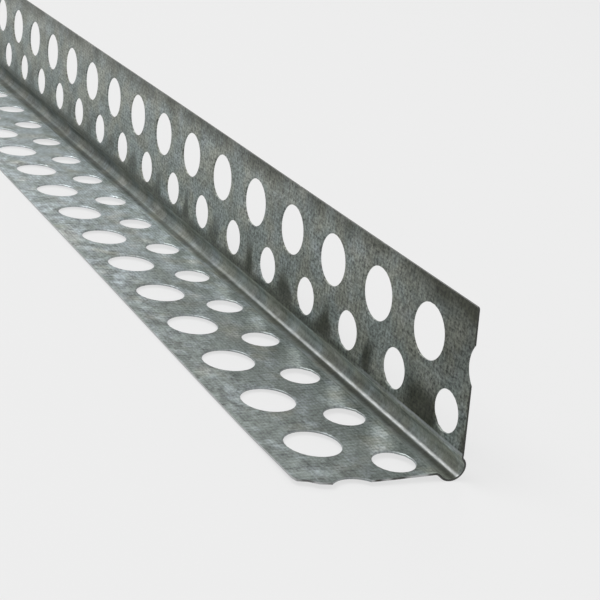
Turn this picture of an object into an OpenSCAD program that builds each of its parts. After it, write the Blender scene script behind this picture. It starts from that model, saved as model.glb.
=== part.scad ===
// Drywall corner bead: a length of galvanised sheet roll-formed into two perforated flanges
// that meet at a rounded nose. It lies with one flange down, on its nose and on that flange's
// free edge. X runs across the lower flange, Y along the length, Z up.

/* [Stock] */
// Length of the bead
length = 2438.4; // [300:0.1:3050]
// Width of each flange, from the corner of the outer faces to the free edge
flange_w = 31.75; // [29:0.25:45]
// Thickness of the sheet
sheet_t = 0.4; // [0.3:0.05:0.8]

/* [Nose] */
// Outer radius of the rounded nose
nose_r = 2.7; // [2.2:0.1:3.2]
// How far the nose stands out past the outer face of each flange
nose_bulge = 1.3; // [0.8:0.1:1.4]
// Radius of the bend between flange and nose, on its outer side
bend_r = 1; // [0.6:0.1:1.8]

/* [Holes] */
// Distance between the holes of a row
hole_pitch = 19.05; // [16:0.05:30]
// Diameter of the large holes, in the row near the free edge
large_d = 11; // [6:0.1:12]
// Distance of the large row from the corner of the outer faces
large_row = 21.5; // [19.5:0.1:22.5]
// Diameter of the small holes, in the row near the nose
small_d = 8.2; // [4:0.1:9]
// Distance of the small row from the corner of the outer faces
small_row = 9.7; // [9:0.1:11]
// Distance of the first whole large hole's centre from the front end
first_large = 15.6; // [8:0.1:16]

/* [Hidden] */
$fn = 64;

// The small holes lie midway between the large ones
first_small = first_large - hole_pitch / 2;
// A hole that would notch an end by less than this is left out
notch_min = 0.5;
// How far a punch reaches past each face of the sheet
punch_past = 0.5;
// Steps along the arcs of the section
nose_steps = 20;
bend_steps = 6;

// Centre of the nose, the same distance from both outer faces
nose_c = nose_r - nose_bulge;
// Where the flat of a flange ends and its bend begins
bend_x = nose_c + sqrt(pow(nose_r + bend_r, 2) - pow(bend_r + nose_c, 2));
// Angle that each bend turns through before it meets the nose
bend_turn = 90 - atan2(bend_r + nose_c, bend_x - nose_c);

// Tilt and lift that bring the nose and the lower flange's free edge to the floor
nose_reach = norm([flange_w - nose_c, nose_c]);
tilt = asin(nose_r / nose_reach) - atan2(nose_c, flange_w - nose_c);
lift = flange_w * sin(tilt);
// Middle of the tilted section's width
left_x = nose_c * (cos(tilt) + sin(tilt)) - nose_r;
right_x = flange_w * cos(tilt) + sheet_t * sin(tilt);
mid_x = (left_x + right_x) / 2;

// Points of an arc about a centre, from one angle to another
function arc(centre, r, from, to, steps) = [
    for (i = [0:steps]) let (a = from + (to - from) * i / steps) centre + r * [cos(a), sin(a)]
];

// Swaps the two flanges of a point list and turns its order round
function swapped(points) = [
    for (i = [len(points) - 1:-1:0]) [points[i][1], points[i][0]]
];

// One face of the section, from the free edge of the lower flange round the nose to the free
// edge of the upright flange. The inset is its depth in the sheet, measured from the outer face.
function section_face(inset) =
    let (
        bend = arc([bend_x, -bend_r], bend_r + inset, 90, 90 + bend_turn, bend_steps),
        side = concat([[flange_w, inset]], bend),
        nose = arc([nose_c, nose_c], nose_r - inset, bend_turn - 90, -180 - bend_turn, nose_steps),
        arch = [for (i = [1:nose_steps - 1]) nose[i]]
    )
    concat(side, arch, swapped(side));

// Front-to-back places of a row's holes, with those that an end cuts through
function row_places(first, d) =
    let (
        reach = d / 2 - notch_min,
        low = ceil((-reach - first) / hole_pitch),
        high = floor((length + reach - first) / hole_pitch)
    )
    [for (i = [low:high]) length / 2 - first - i * hole_pitch];

// Strip of sheet bent to the section, before it is punched
module sheet() {
    outer = section_face(0);
    inner = section_face(sheet_t);
    back = [for (i = [len(inner) - 1:-1:0]) inner[i]];
    rotate([90, 0, 0])
        linear_extrude(length, center = true)
            polygon(concat(outer, back));
}

// Punches for one row of the lower flange
module punch_row(across, first, d) {
    for (y = row_places(first, d))
        translate([across, y, -punch_past])
            cylinder(d = d, h = sheet_t + 2 * punch_past);
}

// Punches for both rows of the lower flange
module punches() {
    punch_row(large_row, first_large, large_d);
    punch_row(small_row, first_small, small_d);
}

module corner_bead() {
    color([0.6, 0.61, 0.59])
        translate([-mid_x, 0, lift])
            rotate([0, tilt, 0])
                difference() {
                    sheet();
                    punches();
                    mirror([1, 0, -1])
                        punches();
                }
}

corner_bead();
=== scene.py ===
"""A drywall corner bead of galvanised sheet, lying on a pale floor."""

import math

import bmesh
import bpy
import numpy as np
from mathutils import Matrix, Vector


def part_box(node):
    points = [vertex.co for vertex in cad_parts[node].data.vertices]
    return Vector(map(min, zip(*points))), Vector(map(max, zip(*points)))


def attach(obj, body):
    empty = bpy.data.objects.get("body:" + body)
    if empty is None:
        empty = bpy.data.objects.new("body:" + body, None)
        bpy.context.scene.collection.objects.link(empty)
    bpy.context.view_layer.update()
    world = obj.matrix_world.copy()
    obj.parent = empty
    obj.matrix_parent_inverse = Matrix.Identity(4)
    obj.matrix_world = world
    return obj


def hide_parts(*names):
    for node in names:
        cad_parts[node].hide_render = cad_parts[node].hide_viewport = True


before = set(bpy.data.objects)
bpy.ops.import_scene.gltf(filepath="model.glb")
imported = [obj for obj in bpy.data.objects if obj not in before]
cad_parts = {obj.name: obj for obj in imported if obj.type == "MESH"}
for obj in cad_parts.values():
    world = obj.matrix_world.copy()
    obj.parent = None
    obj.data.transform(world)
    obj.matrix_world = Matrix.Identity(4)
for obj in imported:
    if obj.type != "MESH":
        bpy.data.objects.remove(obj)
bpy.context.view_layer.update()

MM = 0.001

# Sizes of the stock, in millimetres
FLANGE_W = 31.75
SHEET_T = 0.4
NOSE_R = 2.7
NOSE_BULGE = 1.3
BEND_R = 1.0
HOLE_PITCH = 19.05
LARGE_R = 5.5
LARGE_ROW = 21.5
SMALL_R = 4.1
SMALL_ROW = 9.7
FIRST_LARGE = 15.6
FIRST_SMALL = FIRST_LARGE - HOLE_PITCH / 2
low_corner, high_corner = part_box("corner_bead")
LENGTH = (high_corner.y - low_corner.y) / MM
FRONT_Y = high_corner.y / MM

# Section of the nose, its bends and the way the bead lies
NOSE_C = NOSE_R - NOSE_BULGE
BEND_X = NOSE_C + math.sqrt((NOSE_R + BEND_R) ** 2 - (BEND_R + NOSE_C) ** 2)
BEND_TURN = math.pi / 2 - math.atan2(BEND_R + NOSE_C, BEND_X - NOSE_C)
NOSE_REACH = math.hypot(FLANGE_W - NOSE_C, NOSE_C)
TILT = math.asin(NOSE_R / NOSE_REACH) - math.atan2(NOSE_C, FLANGE_W - NOSE_C)
LIFT = FLANGE_W * math.sin(TILT)
LEFT_X = NOSE_C * (math.cos(TILT) + math.sin(TILT)) - NOSE_R
RIGHT_X = FLANGE_W * math.cos(TILT) + SHEET_T * math.sin(TILT)
MID_X = (LEFT_X + RIGHT_X) / 2

# Line between the two rows of holes, where the strips of a flange meet
ROW_SPLIT = (LARGE_ROW - LARGE_R + SMALL_ROW + SMALL_R) / 2
# Steps of the mesh for each pitch: on that line, on the free edge and on the nose
SPLIT_STEPS = 8
EDGE_STEPS = 4
NOSE_ROWS = 2
# Steps across the strip of the small holes and that of the large ones
SMALL_SIDE = 11
LARGE_SIDE = 10
# Steps along an end beside a notch: towards the corner and towards the free edge
NOTCH_IN_STEPS = 2
NOTCH_OUT_STEPS = 3
# Steps round a bend, the nose and a worn corner
BEND_STEPS = 6
NOSE_STEPS = 22
WORN_STEPS = 4
# Shortest step beside an end
LEAST_STEP = 0.2
# How far the points round a hole are evened out
EVEN_SHARE = 0.6
# Distance within which two places along the sheet are the same
SAME_PLACE = 1e-6
# Distances in metres within which vertices are joined and faces are slivers
WELD_GAP = 2e-6
SLIVER = 1e-7
# Turn between two faces from which their edge is sharp
SHARP_TURN = math.radians(32)

# Kinds of face: the sheet's own, a hole's wall, which takes painted light on the lower flange, and bare
# sheared steel
FACE = 0.0
HOLE_WALL = 0.1
SHEARED = 1.0

# Rolled-over rim of a punched hole
RIM = 0.1
# Worn front corner of each flange: how far it reaches along the length and across
WORN_LOWER = (3.0, 0.5)
WORN_UPRIGHT = (0.5, 0.4)
# Where the cut turns back towards the lower flange's front corner, and where it turns again
CORNER_START = 27.0
CORNER_TURN = 29.5
# How far behind the square end the front was cut, from the upright's free edge to the lower flange's
END_CUT = {
    -FLANGE_W: 1.7,
    -BEND_X: -1.3,
    BEND_X: 0.3,
    CORNER_START: 0.5,
    CORNER_TURN: 2.2,
    FLANGE_W: 2.8,
}
# Length over which the sheet behind the cut takes it up
END_BLEND = 5.0
# Rounds that bring the edge of a notch to the cut
CUT_ROUNDS = 6

# Waves of the thin sheet: height and length of each, and how steeply they grow towards the free edge
LONG_WAVE = (0.25, 420)
SHORT_WAVE = (0.12, 137)
WAVE_GROWTH = 1.6
# Phase at which the waves of each flange start
PHASE_LOWER = 0.6
PHASE_UPRIGHT = 2.1
# Curl of the lower flange's front corner: its height, where it starts across and how far back it reaches
CURL = 0.5
CURL_ACROSS = 14
CURL_ALONG = 26
# The flanges by the sign of their places across: worn corner, start of the waves and curl
FLANGES = {
    1: (WORN_LOWER, PHASE_LOWER, CURL),
    -1: (WORN_UPRIGHT, PHASE_UPRIGHT, 0.0),
}


def stations(per_pitch):
    """Places along the length, behind the front end, that line up with the hole pattern."""
    step = HOLE_PITCH / per_pitch
    first = math.ceil((LEAST_STEP - FIRST_SMALL) / step)
    last = math.floor((LENGTH - LEAST_STEP - FIRST_SMALL) / step)
    inner = [FIRST_SMALL + i * step for i in range(first, last + 1)]
    return np.array([0.0, *inner, LENGTH])


def between(places, start, end):
    """The places from start to end, with both ends."""
    return [y for y in places if start - SAME_PLACE <= y <= end + SAME_PLACE]


def line(a, b, steps):
    """Points from a to b in equal steps, with both ends."""
    return [tuple(p) for p in np.linspace(a, b, steps + 1)]


def circle(centre, radius, angles):
    """Points of a circle at the angles."""
    return [(centre[0] + radius * math.cos(a), centre[1] + radius * math.sin(a)) for a in angles]


def step_up(values, start, end):
    """Rises smoothly from 0 to 1 between start and end."""
    t = np.clip((values - start) / (end - start), 0, 1)
    return t * t * (3 - 2 * t)


class Sheet:
    """Vertices in sheet coordinates: across from the corner, along from the front end, depth from the
    outer face. Each vertex also keeps its distance from the nearest cut edge and whether it was punched."""

    def __init__(self):
        self.points = []
        self.edge_gap = []
        self.punched = []
        self.faces = []
        self.cut = []

    def add(self, points, depth, gap, punched=False):
        """Adds points (across, along) at a depth and returns their numbers. Punched ones, named all at
        once or one by one, stay where the punch left them."""
        first = len(self.points)
        self.points += [(across, along, depth) for across, along in points]
        self.edge_gap += [gap] * len(points)
        self.punched += list(np.broadcast_to(punched, len(points)))
        return list(range(first, len(self.points)))

    def band(self, a, b, cut):
        """Faces between two rows of vertices of the same count."""
        for i in range(len(a) - 1):
            self.faces.append((a[i], a[i + 1], b[i + 1], b[i]))
            self.cut.append(cut)


def front_cut(across):
    """How far behind the square end the front was cut, at signed places across the sheet."""
    return np.interp(across, list(END_CUT.keys()), list(END_CUT.values()))


def crooked(across, along):
    """Moves places near the front end to its crooked cut."""
    return along + front_cut(across) * (1 - step_up(along, 0, END_BLEND))


def hole_angles(path, centre):
    """One angle for each point of a path round a hole, evened out along the hole's edge."""
    p = np.array(path) - centre
    seen = np.unwrap(np.arctan2(p[:, 1], p[:, 0]))
    even = np.linspace(seen[0], seen[-1], len(seen))
    return (1 - EVEN_SHARE) * seen + EVEN_SHARE * even


def line_hole(sheet, paths, rim, wall, far, punched=False):
    """Both faces of the sheet between a path and a hole, with the hole's rim and wall. The path is given
    for the inner and the outer face. Returns the rows of vertices from the one to the other."""
    inner, outer = paths
    rows = (
        sheet.add(inner, SHEET_T, far, punched),
        sheet.add(rim, SHEET_T, RIM, True),
        sheet.add(wall, SHEET_T - RIM, 0, True),
        sheet.add(wall, 0, 0, True),
        sheet.add(outer, 0, far, punched),
    )
    for a, b, kind in zip(rows, rows[1:], (FACE, HOLE_WALL, HOLE_WALL, FACE)):
        sheet.band(a, b, kind)
    return rows


def punched_cell(sheet, path, centre, radius):
    """The sheet between a closed path and a whole hole."""
    angles = hole_angles(path, centre)
    rim = circle(centre, radius + RIM, angles)
    wall = circle(centre, radius, angles)
    line_hole(sheet, (path, path), rim, wall, HOLE_PITCH / 2 - radius)


def half_mouth(centre, radius, end, sign, outward):
    """Angle from a notch's middle to where its edge meets the end's cut. The sign is the flange's, and
    outward is 1 towards its free edge and -1 towards the corner."""
    half = math.acos((end - centre[1]) / radius)
    if end == 0.0:
        for _ in range(CUT_ROUNDS):
            across = centre[0] + outward * radius * math.sin(half)
            half = math.acos((front_cut(sign * across) - centre[1]) / radius)
    return half


def open_arc(centre, radius, end, sign, count):
    """Points along what an end leaves of a hole's edge, from the corner's side to the free edge's."""
    start = math.pi / 2 + half_mouth(centre, radius, end, sign, -1)
    stop = math.pi / 2 - half_mouth(centre, radius, end, sign, 1)
    if end > 0.0:
        stop += 2 * math.pi
    return circle(centre, radius, np.linspace(start, stop, count))


def notched_cell(sheet, path, centre, radius, end, sign):
    """The sheet between a path and a hole that an end cuts through. The path starts and stops at the cut.
    Returns its vertices on the inner and the outer face."""
    rim = open_arc(centre, radius + RIM, end, sign, len(path))
    wall = open_arc(centre, radius, end, sign, len(path))
    paths = [[mouth[0], *path[1:-1], mouth[-1]] for mouth in (rim, wall)]
    punched = [True, *[False] * (len(path) - 2), True]
    rows = line_hole(sheet, paths, rim, wall, HOLE_PITCH / 2 - radius, punched)
    inner_path, inner_rim, wall_top, wall_foot, outer_path = rows
    for at, beside in ((0, 1), (-1, -2)):
        face = (inner_rim[at], wall_top[at], wall_foot[at], outer_path[beside], inner_path[beside])
        sheet.faces.append(face)
        sheet.cut.append(SHEARED)
    return inner_path, outer_path


def cell_path(near, near_places, far, far_places, start, end, steps):
    """A closed path round a cell between two lines along the sheet."""
    path = [(near, p) for p in between(near_places, start, end)[::-1]]
    path += line((near, start), (far, start), steps)[1:]
    path += [(far, p) for p in between(far_places, start, end)][1:]
    path += line((far, end), (near, end), steps)[1:]
    return path


def small_strip(sheet, split_places, nose_places):
    """The strip of a flange from its bend to between its rows, with the small holes."""
    count = math.floor((LENGTH - SMALL_R - FIRST_SMALL) / HOLE_PITCH) + 1
    for i in range(count):
        y = FIRST_SMALL + i * HOLE_PITCH
        start = 0.0 if i == 0 else y - HOLE_PITCH / 2
        end = LENGTH if i == count - 1 else y + HOLE_PITCH / 2
        path = cell_path(BEND_X, nose_places, ROW_SPLIT, split_places, start, end, SMALL_SIDE)
        punched_cell(sheet, path, (SMALL_ROW, y), SMALL_R)
    for end in (0.0, LENGTH):
        across = line((BEND_X, end), (ROW_SPLIT, end), SMALL_SIDE)
        sheet.band(sheet.add(across, SHEET_T, 0), sheet.add(across, 0, 0), SHEARED)


def worn_corner(reach, inset):
    """Points of a flange's rounded front corner, from the free edge to the end."""
    turns = np.linspace(0, math.pi / 2, WORN_STEPS + 1)
    return [(FLANGE_W - inset * (1 - math.cos(a)), reach * (1 - math.sin(a))) for a in turns]


def end_cell(sheet, split_places, edge_places, worn, sign, end, inward, hole_at):
    """The last cell of the large holes at an end, whose hole the end cuts through."""
    mouth = math.sqrt(LARGE_R**2 - (end - hole_at) ** 2)
    span = sorted((end, inward))
    split_side = [(ROW_SPLIT, p) for p in between(split_places, *span)]
    edge_side = [(FLANGE_W, p) for p in between(edge_places, *span)]
    corner_steps = 0
    if end == 0.0:
        edge_side = worn_corner(*worn)[::-1] + [p for p in edge_side if p[1] > worn[0]]
        corner_steps = WORN_STEPS
    else:
        split_side, edge_side = split_side[::-1], edge_side[::-1]
    path = line((LARGE_ROW - mouth, end), (ROW_SPLIT, end), NOTCH_IN_STEPS)
    path += split_side[1:]
    path += line((ROW_SPLIT, inward), (FLANGE_W, inward), LARGE_SIDE)[1:]
    path += edge_side[::-1][1:]
    path += line(edge_side[0], (LARGE_ROW + mouth, end), NOTCH_OUT_STEPS)[1:]
    inner, outer = notched_cell(sheet, path, (LARGE_ROW, hole_at), LARGE_R, end, sign)
    corner_side = slice(1, 1 + NOTCH_IN_STEPS)
    free_side = slice(-1 - NOTCH_OUT_STEPS - corner_steps, -1)
    for part in (corner_side, free_side):
        sheet.band(inner[part], outer[part], SHEARED)


def large_strip(sheet, split_places, edge_places, worn, sign):
    """The strip of a flange from between its rows to its free edge, with the large holes."""
    count = math.floor((LENGTH - LARGE_R - FIRST_LARGE) / HOLE_PITCH) + 1
    for i in range(count):
        y = FIRST_LARGE + i * HOLE_PITCH
        start, end = y - HOLE_PITCH / 2, y + HOLE_PITCH / 2
        path = cell_path(ROW_SPLIT, split_places, FLANGE_W, edge_places, start, end, LARGE_SIDE)
        punched_cell(sheet, path, (LARGE_ROW, y), LARGE_R)
    cut_holes = {0.0: FIRST_LARGE - HOLE_PITCH, LENGTH: FIRST_LARGE + count * HOLE_PITCH}
    inward = {0.0: FIRST_LARGE - HOLE_PITCH / 2, LENGTH: FIRST_LARGE + (count - 0.5) * HOLE_PITCH}
    for end, hole_at in cut_holes.items():
        end_cell(sheet, split_places, edge_places, worn, sign, end, inward[end], hole_at)
    free = [(FLANGE_W, worn[0])] + [(FLANGE_W, p) for p in edge_places if p > worn[0]]
    sheet.band(sheet.add(free, SHEET_T, 0), sheet.add(free, 0, 0), SHEARED)


def flange(worn, sign):
    """One flange as a sheet that lies flat. Places across the upright have a negative sign."""
    sheet = Sheet()
    split_places = stations(SPLIT_STEPS)
    small_strip(sheet, split_places, stations(NOSE_ROWS))
    large_strip(sheet, split_places, stations(EDGE_STEPS), worn, sign)
    return sheet


def section(inset):
    """Points (x, z) of one face of the nose and its bends, from the lower flange to the upright."""
    bend = [
        (BEND_X + (BEND_R + inset) * math.cos(a), -BEND_R + (BEND_R + inset) * math.sin(a))
        for a in np.linspace(math.pi / 2, math.pi / 2 + BEND_TURN, BEND_STEPS + 1)
    ]
    arch = [
        (NOSE_C + (NOSE_R - inset) * math.cos(a), NOSE_C + (NOSE_R - inset) * math.sin(a))
        for a in np.linspace(BEND_TURN - math.pi / 2, -math.pi - BEND_TURN, NOSE_STEPS + 1)
    ]
    return bend + arch[1:-1] + [(z, x) for x, z in bend[::-1]]


def wave(places, height, length, phase):
    """A smooth wave along the bead, from 0 to its height."""
    return height * (0.5 + 0.5 * np.sin(2 * math.pi * places / length + phase))


def bowed(points, phase, curl):
    """Depths of a flange's points with the slight waves of a thin sheet and a curl at its front corner."""
    across, along, depth = points.T
    free = np.clip((across - BEND_X) / (FLANGE_W - BEND_X), 0, 1)
    waves = wave(along, *LONG_WAVE, phase) + wave(along, *SHORT_WAVE, 2 * phase + 1)
    corner = step_up(across, CURL_ACROSS, FLANGE_W) * step_up(-along, -CURL_ALONG, 0)
    return depth + free**WAVE_GROWTH * waves + curl * corner


class Bead:
    """The bead's vertices in the part's frame, gathered from its flanges and its nose."""

    def __init__(self):
        self.xyz = []
        self.sheet_at = []
        self.edge_gap = []
        self.faces = []
        self.cut = []

    def take(self, x, z, across, along, edge_gap, faces, cut):
        """Adds vertices by their place in the section and along the sheet, turned as the bead lies."""
        first = sum(len(p) for p in self.xyz)
        turned_x = x * math.cos(TILT) + z * math.sin(TILT) - MID_X
        turned_z = -x * math.sin(TILT) + z * math.cos(TILT) + LIFT
        self.xyz.append(np.column_stack([turned_x, FRONT_Y - along, turned_z]) * MM)
        self.sheet_at.append(np.column_stack([across, along, np.zeros(len(x))]))
        self.edge_gap.append(edge_gap)
        self.faces += [tuple(i + first for i in face) for face in faces]
        self.cut += cut

    def mesh(self):
        """The mesh, in metres, with what the material needs to know of each vertex and face."""
        mesh = bpy.data.meshes.new("bead_sheet")
        mesh.from_pydata(np.concatenate(self.xyz), [], self.faces)
        sheet_layer = mesh.attributes.new("sheet_at", "FLOAT_VECTOR", "POINT")
        sheet_layer.data.foreach_set("vector", np.concatenate(self.sheet_at).ravel())
        gap_layer = mesh.attributes.new("edge_gap", "FLOAT", "POINT")
        gap_layer.data.foreach_set("value", np.concatenate(self.edge_gap))
        cut_layer = mesh.attributes.new("cut_face", "FLOAT", "FACE")
        cut_layer.data.foreach_set("value", np.array(self.cut))
        return mesh


def add_flange(bead, sign, worn, phase, curl):
    """Adds a flange, bowed and cut at its front end."""
    sheet = flange(worn, sign)
    points = np.array(sheet.points)
    across, along = points[:, 0], points[:, 1]
    depth = bowed(points, phase, curl)
    x, z = (across, depth) if sign > 0 else (depth, across)
    along = np.where(sheet.punched, along, crooked(sign * across, along))
    bead.take(x, z, sign * across, along, np.array(sheet.edge_gap, float), sheet.faces, sheet.cut)


def add_nose(bead):
    """Adds the nose and its bends: an outer and an inner layer, closed at both ends."""
    places = stations(NOSE_ROWS)
    layers = np.array([section(0), section(SHEET_T)])
    ring, rows = layers.shape[1], len(places)
    faces, cut = [], []
    for layer in range(len(layers)):
        for row in range(rows - 1):
            for i in range(ring - 1):
                a = (layer * rows + row) * ring + i
                faces.append((a, a + 1, a + ring + 1, a + ring))
                cut.append(FACE)
    for row in (0, rows - 1):
        for i in range(ring - 1):
            a = row * ring + i
            b = a + ring * rows
            faces.append((a, a + 1, b + 1, b))
            cut.append(SHEARED)
    x, z = np.tile(layers, (1, rows, 1)).reshape(-1, 2).T
    across = np.tile(np.linspace(BEND_X, -BEND_X, ring), len(layers) * rows)
    along = crooked(across, np.tile(np.repeat(places, ring), len(layers)))
    bead.take(x, z, across, along, np.full(len(x), HOLE_PITCH), faces, cut)


def weld(mesh):
    """Joins the strips along their seams and turns every face outward."""
    joined = bmesh.new()
    joined.from_mesh(mesh)
    bmesh.ops.remove_doubles(joined, verts=joined.verts, dist=WELD_GAP)
    bmesh.ops.dissolve_degenerate(joined, dist=SLIVER, edges=joined.edges)
    bmesh.ops.recalc_face_normals(joined, faces=joined.faces)
    joined.to_mesh(mesh)
    open_edges = sum(1 for e in joined.edges if len(e.link_faces) != 2)
    print("bead_sheet:", len(mesh.polygons), "faces,", open_edges, "open edges")
    joined.free()
    mesh.shade_smooth()
    mesh.set_sharp_from_angle(angle=SHARP_TURN)


# Sockets of a Mix node for colours: its share, its two colours and its result
MIX_SHARE = 0
MIX_A = 6
MIX_B = 7
MIX_RESULT = 2
# Radians that a wave node's lines turn through in one unit, at a scale of 1
WAVE_NODE_TURN = 20


class Graph:
    """Short calls that add linked nodes to a node tree."""

    def __init__(self, tree):
        self.nodes = tree.nodes
        self.links = tree.links

    def put(self, socket, value):
        """Links a socket, or sets its constant."""
        if isinstance(value, bpy.types.NodeSocket):
            self.links.new(value, socket)
        else:
            socket.default_value = value

    def node(self, kind, **inputs):
        """Adds a node with its inputs by name."""
        made = self.nodes.new(kind)
        for name, value in inputs.items():
            self.put(made.inputs[name.replace("_", " ")], value)
        return made

    def attribute(self, name):
        """Adds a mesh attribute."""
        made = self.nodes.new("ShaderNodeAttribute")
        made.attribute_name = name
        return made

    def noise(self, vector, size, detail=3, rough=0.55, stretch=None):
        """Noise from 0 to 1 with features of about a size in millimetres. A stretch is a factor across
        and one along, and below 1 it draws the features out."""
        if stretch:
            moved = self.node("ShaderNodeVectorMath", Vector=vector)
            moved.operation = "MULTIPLY"
            moved.inputs[1].default_value = (*stretch, 1)
            vector = moved.outputs[0]
        made = self.node(
            "ShaderNodeTexNoise", Vector=vector, Scale=1 / size, Detail=detail, Roughness=rough
        )
        return made.outputs[0]

    def math(self, operation, a, b=0.0, c=0.0, clamp=False):
        """Works out one value from up to three."""
        made = self.nodes.new("ShaderNodeMath")
        made.operation = operation
        made.use_clamp = clamp
        for slot, given in enumerate((a, b, c)):
            self.put(made.inputs[slot], given)
        return made.outputs[0]

    def times(self, a, b):
        """The product of two values."""
        return self.math("MULTIPLY", a, b)

    def plus(self, first, *others):
        """The sum of values."""
        for other in others:
            first = self.math("ADD", first, other)
        return first

    def blend(self, share, low, high):
        """Goes from low to high as the share goes from 0 to 1."""
        return self.math("MULTIPLY_ADD", share, high - low, low)

    def ramp(self, value, low, high, to_low=0.0, to_high=1.0):
        """Maps a range smoothly to another, held at its ends."""
        made = self.nodes.new("ShaderNodeMapRange")
        made.interpolation_type = "SMOOTHSTEP"
        for slot, given in enumerate((value, low, high, to_low, to_high)):
            self.put(made.inputs[slot], given)
        return made.outputs[0]

    def hump(self, value, rise, fall, amount=1.0):
        """A band that rises to an amount over one range and falls again over another."""
        return self.times(self.ramp(value, *rise, 0.0, amount), self.ramp(value, *fall, 1.0, 0.0))

    def mix(self, share, a, b, blend="MIX"):
        """Mixes two colours."""
        made = self.nodes.new("ShaderNodeMix")
        made.data_type = "RGBA"
        made.blend_type = blend
        for slot, given in ((MIX_SHARE, share), (MIX_A, a), (MIX_B, b)):
            self.put(made.inputs[slot], given)
        return made.outputs[MIX_RESULT]

    def bands(self, vector, direction, period):
        """Fine, slightly uneven lines of a period in millimetres."""
        scale = 2 * math.pi / WAVE_NODE_TURN / period
        made = self.node(
            "ShaderNodeTexWave", Vector=vector, Scale=scale, Distortion=1.2, Detail=2.0, Detail_Scale=0.6
        )
        made.bands_direction = direction
        return made.outputs["Fac"]

    def seen_rays(self):
        """1 for rays that show the studio itself, straight, mirrored or through glass, and 0 for others."""
        rays = self.nodes.new("ShaderNodeLightPath")
        seen = rays.outputs["Is Camera Ray"]
        for kind in ("Is Glossy Ray", "Is Transmission Ray"):
            seen = self.math("MAXIMUM", seen, rays.outputs[kind])
        return seen


# Colours of the steel
ZINC_DARK = (0.178, 0.194, 0.174, 1)
ZINC_MID = (0.258, 0.279, 0.254, 1)
# Pale zinc of the patches, also the colour of the painted highlight on the bend and of the painted light on
# the lower holes' walls
PALE_ZINC_AND_LIT = (0.45, 0.475, 0.49, 1)
# Near white of the painted highlight at the groove's bottom
HIGHLIGHT_WHITE = (0.8, 0.82, 0.82, 1)
WARM_CAST = (1.03, 1.01, 0.95, 1)
COOL_CAST = (0.95, 1.01, 1.05, 1)
# Dark colour of the painted shade and of the darkening by the upright's free edge and front end
DARKENED = (0.042, 0.046, 0.031, 1)
CUT_DARK = (0.05, 0.052, 0.046, 1)
CUT_PALE = (0.42, 0.43, 0.43, 1)

# The finish is placed in millimetres: across, positive on the lower flange and negative on the upright,
# and along from the front end. A ramp is named by where it starts and ends and its values there, and a
# band by the range over which it comes in and the one over which it goes out.

# Range that holds most of a noise's values
NOISE_MOST = (0.3, 0.7)
# Band across that is the nose and its bends
IN_NOSE = ((-4.6, -3.6), (3.6, 4.6))

# Clouds, pale patches and hue of the zinc, with painted light that makes the lower flange paler far from
# the front end
CLOUD = dict(size=7, detail=5, rough=0.62, stretch=(1, 0.8))
PATCH = dict(size=5, detail=4, rough=0.65, stretch=(1, 0.7))
PATCH_PALE = (0.46, 0.74)
PALE_ACROSS = (-6, 6, 0.35, 0.65)
PALER_ALONG = (30, 160, 0.0, 0.14)
PALER_ACROSS = (-2, 8)
HUE = dict(size=9, detail=2)
HUE_TURN = (0.38, 0.62)
COOLER_ACROSS = (-2, 8, 0.0, 0.12)


def zinc(graph, place, across, along):
    """Clouded zinc, with painted light that makes the lower flange paler away from the front end. Returns
    its colour and clouds.
    """
    cloud = graph.noise(place, **CLOUD)
    colour = graph.mix(graph.ramp(cloud, *NOISE_MOST), ZINC_DARK, ZINC_MID)
    # Painted light: more pale patches on the lower flange far from the front end
    paler = graph.times(graph.ramp(along, *PALER_ALONG), graph.ramp(across, *PALER_ACROSS))
    patch = graph.plus(graph.noise(place, **PATCH), paler)
    pale = graph.ramp(patch, *PATCH_PALE, 0.0, graph.ramp(across, *PALE_ACROSS))
    colour = graph.mix(pale, colour, PALE_ZINC_AND_LIT)
    hue = graph.plus(graph.noise(place, **HUE), graph.ramp(across, *COOLER_ACROSS))
    cast = graph.mix(graph.ramp(hue, *HUE_TURN), WARM_CAST, COOL_CAST)
    return graph.mix(1.0, colour, cast, "MULTIPLY"), cloud


# Painted highlights along the groove's bottom and on the bend above it
UNEVEN = dict(size=1.6, detail=3, rough=0.6, stretch=(2, 0.5))
UNEVEN_SHARE = (0.35, 0.65, 0.5, 1.0)
FOOT_LINE = ((-0.25, 0.12), (0.2, 0.42))
FOOT_LINE_ALONG = (15, 150, 0.9, 0.0)
CREST_LINE = ((-4.8, -4.45), (-4.3, -3.8))
CREST_LINE_ALONG = (12, 45, 1.0, 0.0)


def painted_highlights(graph, colour, place, across, along):
    """Uneven painted highlights at the bottom of the groove and on the bend above it."""
    uneven = graph.ramp(graph.noise(place, **UNEVEN), *UNEVEN_SHARE)
    foot = graph.hump(across, *FOOT_LINE, graph.ramp(along, *FOOT_LINE_ALONG))
    crest = graph.hump(across, *CREST_LINE, graph.ramp(along, *CREST_LINE_ALONG))
    colour = graph.mix(graph.times(crest, uneven), colour, PALE_ZINC_AND_LIT)
    return graph.mix(graph.times(foot, uneven), colour, HIGHLIGHT_WHITE)


# Painted shade in streaks between the upright's small holes, down to its bend, with a wide patch of painted
# shade near the front
SHADE_STREAK_WANDER = dict(size=10, detail=1)
SHADE_STREAK_WANDER_TURN = (*NOISE_MOST, -0.45, 0.45)
SHADE_STREAK_WIDTH = (-9.5, -5, -0.7, 0.0)
SHADE_STREAK_LEAST = 0.05
SHADE_STREAK_PATCHY = dict(size=14, detail=2)
SHADE_STREAK_PATCHY_SHARE = (0.3, 0.55, 0.7, 1.0)
SHADE_STREAK_ALONG = (80, 240, 1.0, 0.5)
SHADE_STREAK_ACROSS = ((-14, -8), (-4.9, -4.4))
WIDE_SHADE_ALONG = ((6, 10), (17, 24))


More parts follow.
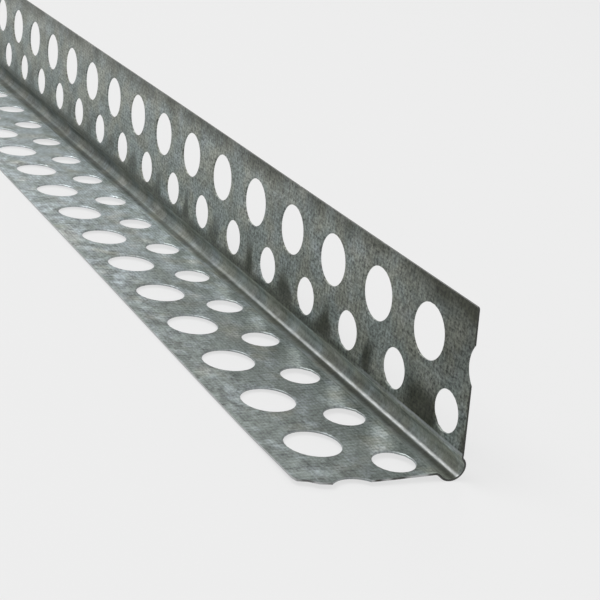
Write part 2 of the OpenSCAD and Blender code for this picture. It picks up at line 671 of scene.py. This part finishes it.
def shade_streaks(graph, place, across, along):
    """How strong the painted shade in streaks between the upright's small holes is."""
    turn = graph.times(graph.math("SUBTRACT", along, FIRST_SMALL), 2 * math.pi / HOLE_PITCH)
    turn = graph.plus(turn, graph.ramp(graph.noise(place, **SHADE_STREAK_WANDER), *SHADE_STREAK_WANDER_TURN))
    width = graph.ramp(across, *SHADE_STREAK_WIDTH)
    streak_shade = graph.ramp(graph.math("COSINE", turn), width, -1.0, SHADE_STREAK_LEAST, 1.0)
    streak_shade = graph.times(streak_shade, graph.ramp(graph.noise(place, **SHADE_STREAK_PATCHY), *SHADE_STREAK_PATCHY_SHARE))
    streak_shade = graph.times(streak_shade, graph.ramp(along, *SHADE_STREAK_ALONG))
    streak_shade = graph.math("MAXIMUM", streak_shade, graph.hump(along, *WIDE_SHADE_ALONG))
    return graph.times(streak_shade, graph.hump(across, *SHADE_STREAK_ACROSS))


# Painted shade on the upright's foot by the bend and in the groove, and darkening towards the upright's
# free edge and on its outer part near the front end
TOP_ACROSS = (-26.5, -31.5, 0.0, 0.7)
TOP_CLOUDED = (*NOISE_MOST, 1.2, 0.6)
FRONT_ALONG = (36, 0, 0.0, 0.58)
FRONT_ACROSS = (-8, -24)
BEND_BAND = ((-6.8, -4.8), (-4.2, -3.4))
BEND_ALONG = (18, 55, 0.1, 0.75)
GROOVE_BAND = ((0.3, 0.6), (0.8, 1.8))
GROOVE_ALONG = (40, 180, 0.85, 0.5)


def shade_and_darkening(graph, cloud, place, across, along):
    """How much painted shade and darkening there is, with the streaks of painted shade."""
    top = graph.times(graph.ramp(across, *TOP_ACROSS), graph.ramp(cloud, *TOP_CLOUDED))
    front = graph.times(graph.ramp(along, *FRONT_ALONG), graph.ramp(across, *FRONT_ACROSS))
    bend = graph.hump(across, *BEND_BAND, graph.ramp(along, *BEND_ALONG))
    groove = graph.hump(across, *GROOVE_BAND, graph.ramp(along, *GROOVE_ALONG))
    low = graph.math("MAXIMUM", shade_streaks(graph, place, across, along), bend)
    return graph.math("ADD", graph.plus(top, front, low), groove, clamp=True)


# Fine texture: grains, streaks along the sheet, spangle, weave, and blotches by the lower free edge
SPECKLE = dict(size=0.9, detail=2, rough=0.6)
SPECKLE_TONE = (*NOISE_MOST, -0.35, 0.35)
GRAIN = dict(size=0.4, detail=2, rough=0.6)
GRAIN_TONE = (*NOISE_MOST, -0.25, 0.25)
GRAINS_ACROSS = (-6, 6, 1.25, 0.75)
STREAK = dict(size=0.8, detail=2, stretch=(1, 0.03))
STREAK_TONE = (*NOISE_MOST, -1.0, 1.0)
SPANGLE_SIZE = 2.6
SPANGLE_TONE = (0.0, 1.0, 0.93, 1.07)
WEAVE_PERIODS = {"X": 0.8, "Y": 1.1}
WEAVE_TONE = (0.1, 0.9, -0.15, 0.15)
BLOTCH = dict(size=2.8, detail=3, rough=0.6)
BLOTCH_TONE = (0.35, 0.65, -0.3, 0.3)
BLOTCH_ACROSS = (12, 26)
# Amounts on the flanges and on the nose
GRAINS_AMOUNT = (1.0, 0.4)
STREAK_AMOUNT = (0.05, 0.25)
WEAVE_AMOUNT = (0.5, 0.1)
# Shares of the bump's height
WEAVE_HEIGHT = 0.3
SPECKLE_HEIGHT = 0.7
SPANGLE_HEIGHT = 0.12


def texture(graph, place, across, in_nose):
    """Tone of the fine grain and its height: speckle, spangle, a faint weave and lines along the sheet."""
    speckle = graph.noise(place, **SPECKLE)
    grain = graph.ramp(graph.noise(place, **GRAIN), *GRAIN_TONE)
    grains = graph.plus(graph.ramp(speckle, *SPECKLE_TONE), grain)
    grains = graph.times(grains, graph.ramp(across, *GRAINS_ACROSS))
    grains = graph.times(grains, graph.blend(in_nose, *GRAINS_AMOUNT))
    streak = graph.ramp(graph.noise(place, **STREAK), *STREAK_TONE)
    rolled = graph.times(streak, graph.blend(in_nose, *STREAK_AMOUNT))
    cells = graph.node("ShaderNodeTexVoronoi", Vector=place, Scale=1 / SPANGLE_SIZE)
    spangle = graph.node("ShaderNodeSeparateColor", Color=cells.outputs["Color"]).outputs[0]
    lines = [graph.bands(place, direction, period) for direction, period in WEAVE_PERIODS.items()]
    weave = graph.times(graph.plus(*lines), graph.blend(in_nose, *WEAVE_AMOUNT))
    blotch = graph.ramp(graph.noise(place, **BLOTCH), *BLOTCH_TONE)
    blotch = graph.times(blotch, graph.ramp(across, *BLOTCH_ACROSS))
    tone = graph.plus(graph.ramp(spangle, *SPANGLE_TONE), grains, rolled, blotch)
    tone = graph.plus(tone, graph.ramp(weave, *WEAVE_TONE))
    height = graph.plus(graph.times(weave, WEAVE_HEIGHT), graph.times(speckle, SPECKLE_HEIGHT))
    return tone, graph.plus(height, graph.times(spangle, SPANGLE_HEIGHT))


# Tone of the flanges, with painted light: the lower flange darker than the upright, and paler far from the
# front, beside the groove and on its wall
FLANGE_TONE = (-6, 6, 0.88, 0.78)
FAR_ALONG = (20, 170)
FAR_TONE = (-6, 6, 1.2, 1.65)
BESIDE_GROOVE = ((1.0, 2.2), (5, 16))
BESIDE_NEAR = (8, 30, 0.6, 0.38)
BESIDE_FAR = (120, 210, 1.0, 0.3)
GROOVE_WALL = ((-4.4, -3.6), (-2.0, -0.4))
GROOVE_WALL_ALONG = (40, 150, 1.0, 0.1)
# Where the nose is darker, far from the front end
NOSE_DARKER_ALONG = (110, 210, 0.0, 0.3)


def painted_light_tone(graph, tone, across, along, in_nose):
    """The tone with painted light: the flanges set apart, paler far from the front, beside the groove and
    on its wall, and darker on the far part of the nose.
    """
    tone = graph.times(tone, graph.ramp(across, *FLANGE_TONE))
    tone = graph.times(tone, graph.ramp(along, *FAR_ALONG, 1.0, graph.ramp(across, *FAR_TONE)))
    beside = graph.times(graph.ramp(along, *BESIDE_NEAR), graph.ramp(along, *BESIDE_FAR))
    tone = graph.times(tone, graph.plus(1.0, graph.hump(across, *BESIDE_GROOVE, beside)))
    far_nose_darker = graph.times(in_nose, graph.ramp(along, *NOSE_DARKER_ALONG))
    tone = graph.times(tone, graph.math("SUBTRACT", 1.0, far_nose_darker))
    wall = graph.hump(across, *GROOVE_WALL, graph.ramp(along, *GROOVE_WALL_ALONG))
    return graph.times(tone, graph.plus(1.0, wall))


# Cut edges: dark rims, painted light on the lower holes' walls, and sheared steel that is pale in places
RIM_DARK = (0.1, 0.5, 0.1, 0.0)
WALL_LIGHT_BAND = ((0.02, 0.08), (0.3, 0.4))
WALL_LIGHT_ACROSS = (-1, 1, 0.0, 0.35)
PALE_EDGE_ACROSS = (FLANGE_W - 0.3, FLANGE_W - 0.1)
PALE_EDGE_ALONG = (3.5, 8)
EDGE_WEAR = dict(size=5, detail=2)
EDGE_WEAR_ACROSS = (2, 6, -0.08, 0.14)
EDGE_BRIGHT = (0.55, 0.7)
SHEARED_FACE = (0.5, 0.9)


def cut_edges(graph, colour, place, across, along):
    """Dark sheared ends, a pale free edge on the lower flange and painted light on the lower holes' walls.
    """
    cut = graph.attribute("cut_face").outputs["Fac"]
    rim = graph.ramp(graph.attribute("edge_gap").outputs["Fac"], *RIM_DARK)
    colour = graph.mix(rim, colour, CUT_DARK)
    # Painted light on the walls of the lower flange's holes
    wall_light = graph.hump(cut, *WALL_LIGHT_BAND, graph.ramp(across, *WALL_LIGHT_ACROSS))
    colour = graph.mix(wall_light, colour, PALE_ZINC_AND_LIT)
    # Pale along the lower flange's free edge, back from the front end
    pale_edge = graph.times(graph.ramp(across, *PALE_EDGE_ACROSS), graph.ramp(along, *PALE_EDGE_ALONG))
    worn = graph.plus(graph.noise(place, **EDGE_WEAR), graph.ramp(across, *EDGE_WEAR_ACROSS))
    bright = graph.math("MAXIMUM", pale_edge, graph.ramp(worn, *EDGE_BRIGHT))
    sheared = graph.mix(bright, CUT_DARK, CUT_PALE)
    return graph.mix(graph.ramp(cut, *SHEARED_FACE), colour, sheared)


# Gloss and bump of the steel
ROUGHNESS = (*NOISE_MOST, 0.38, 0.3)
NOSE_ROUGHER = 0.2
# On the flanges and on the nose
METALLIC = (0.6, 0.25)
BUMP_STRENGTH = 0.25
BUMP_HEIGHT = 0.00004


def new_material(name):
    """A new material, the graph of its nodes and its shader."""
    material = bpy.data.materials.new(name)
    material.use_nodes = True
    graph = Graph(material.node_tree)
    return material, graph, graph.nodes["Principled BSDF"]


def steel():
    """Dull galvanised sheet, clouded and speckled, with painted shade, painted highlights and painted
    light.
    """
    material, graph, shader = new_material("galvanised_steel")
    place = graph.attribute("sheet_at").outputs["Vector"]
    spread = graph.node("ShaderNodeSeparateXYZ", Vector=place)
    across, along = spread.outputs[0], spread.outputs[1]
    in_nose = graph.hump(across, *IN_NOSE)
    colour, cloud = zinc(graph, place, across, along)
    # Painted shade at the bend, in the groove and in streaks, and darkening by the upright's free edge and
    # front end
    colour = graph.mix(shade_and_darkening(graph, cloud, place, across, along), colour, DARKENED)
    tone, height = texture(graph, place, across, in_nose)
    # Painted light on the flanges, beside the groove and on the groove's wall
    tone = painted_light_tone(graph, tone, across, along, in_nose)
    toned = graph.node("ShaderNodeCombineColor", Red=tone, Green=tone, Blue=tone).outputs[0]
    colour = graph.mix(1.0, colour, toned, "MULTIPLY")
    # Painted highlights at the groove's bottom and on the bend above it
    colour = painted_highlights(graph, colour, place, across, along)
    colour = cut_edges(graph, colour, place, across, along)
    rough = graph.plus(graph.ramp(cloud, *ROUGHNESS), graph.times(in_nose, NOSE_ROUGHER))
    bump = graph.node("ShaderNodeBump", Height=height, Strength=BUMP_STRENGTH, Distance=BUMP_HEIGHT)
    graph.put(shader.inputs["Base Color"], colour)
    graph.put(shader.inputs["Metallic"], graph.blend(in_nose, *METALLIC))
    graph.put(shader.inputs["Roughness"], rough)
    graph.put(shader.inputs["Normal"], bump.outputs[0])
    return material


def make_bead():
    """The bead as one piece that stands for the CAD solid."""
    gathered = Bead()
    for sign, (worn, phase, curl) in FLANGES.items():
        add_flange(gathered, sign, worn, phase, curl)
    add_nose(gathered)
    mesh = gathered.mesh()
    weld(mesh)
    bead = bpy.data.objects.new("bead_sheet", mesh)
    bpy.context.scene.collection.objects.link(bead)
    mesh.materials.append(steel())
    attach(bead, "root")
    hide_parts("corner_bead")


# Studio, in metres
FLOOR_HALF = 8.0
# How far the floor lies under the bead, so that the two don't share a plane
FLOOR_DROP = 1e-5
FLOOR_COLOUR = (0.85, 0.85, 0.85, 1)
FLOOR_ROUGH = 0.9
# Share of the floor's own paleness that is seen, against its lit and shaded paint
FLOOR_PALE = 0.8
# Strength of the world as a light, and as it is seen
WORLD_FILL = 0.55
WORLD_SEEN = 1.0
# Lamps by their direction from the front end, distance, width, length and power
LAMPS = {
    "top_box": ((0.40, -0.15, 0.90), 2.4, 1.6, 1.6, 34.0),
    "key": ((-0.40, -0.67, 0.63), 3.0, 0.8, 0.8, 7.0),
}
# Height of the point at the front end that the lamps aim at
LAMP_AIM_Z = 0.01
# Camera: its place by the front end, the way it looks, the way up, its focal length and nearest distance
CAMERA_AT = Vector((0.13188, FRONT_Y * MM + 0.18587, 0.11017))
CAMERA_ALONG = Vector((-0.4762, -0.8160, -0.3277))
CAMERA_UP = Vector((-0.0095, -0.3679, 0.9298))
CAMERA_LENS = 85.3
CAMERA_NEAR = 0.01


def make_floor():
    """A plain pale floor."""
    mesh = bpy.data.meshes.new("floor")
    low, high = -FLOOR_HALF, FLOOR_HALF
    corners = [(low, low, 0), (high, low, 0), (high, high, 0), (low, high, 0)]
    mesh.from_pydata(corners, [], [(0, 1, 2, 3)])
    floor = bpy.data.objects.new("floor", mesh)
    floor.location.z = -FLOOR_DROP
    bpy.context.scene.collection.objects.link(floor)
    material, graph, shader = new_material("floor_paint")
    graph.put(shader.inputs["Base Color"], FLOOR_COLOUR)
    graph.put(shader.inputs["Roughness"], FLOOR_ROUGH)
    glow = graph.node("ShaderNodeEmission", Color=FLOOR_COLOUR)
    mixed = graph.nodes.new("ShaderNodeMixShader")
    parts = (graph.times(graph.seen_rays(), FLOOR_PALE), shader.outputs[0], glow.outputs[0])
    for slot, part in enumerate(parts):
        graph.put(mixed.inputs[slot], part)
    graph.put(graph.nodes["Material Output"].inputs["Surface"], mixed.outputs[0])
    mesh.materials.append(material)


def make_world():
    """An even studio that looks as pale as the floor and lights the bead softly."""
    world = bpy.data.worlds.new("studio")
    world.use_nodes = True
    graph = Graph(world.node_tree)
    background = graph.nodes["Background"]
    graph.put(background.inputs["Color"], FLOOR_COLOUR)
    graph.put(background.inputs["Strength"], graph.ramp(graph.seen_rays(), 0, 1, WORLD_FILL, WORLD_SEEN))
    bpy.context.scene.world = world


def area_light(name, at, target, width, length, power):
    """A soft lamp that points at a target, with its length in the upright plane through both."""
    lamp = bpy.data.lights.new(name, "AREA")
    lamp.shape = "RECTANGLE"
    lamp.size = width
    lamp.size_y = length
    lamp.energy = power
    light = bpy.data.objects.new(name, lamp)
    light.location = at
    light.rotation_euler = (target - at).to_track_quat("-Z", "Y").to_euler()
    light.visible_camera = False
    bpy.context.scene.collection.objects.link(light)


def make_lights():
    """A soft box over the open side and a key behind the upright flange."""
    front = Vector((0, FRONT_Y * MM, LAMP_AIM_Z))
    for name, (toward, far, width, length, power) in LAMPS.items():
        area_light(name, front + far * Vector(toward).normalized(), front, width, length, power)


def make_camera():
    """The camera at the photograph's viewing angle."""
    data = bpy.data.cameras.new("camera")
    data.lens = CAMERA_LENS
    data.clip_start = CAMERA_NEAR
    camera = bpy.data.objects.new("camera", data)
    back = -CAMERA_ALONG.normalized()
    right = CAMERA_UP.cross(back).normalized()
    up = back.cross(right)
    turned = Matrix((right, up, back)).transposed().to_4x4()
    camera.matrix_world = Matrix.Translation(CAMERA_AT) @ turned
    bpy.context.scene.collection.objects.link(camera)
    bpy.context.scene.camera = camera


make_bead()
make_floor()
make_world()
make_lights()
make_camera()
bpy.context.scene.view_settings.view_transform = "Standard"
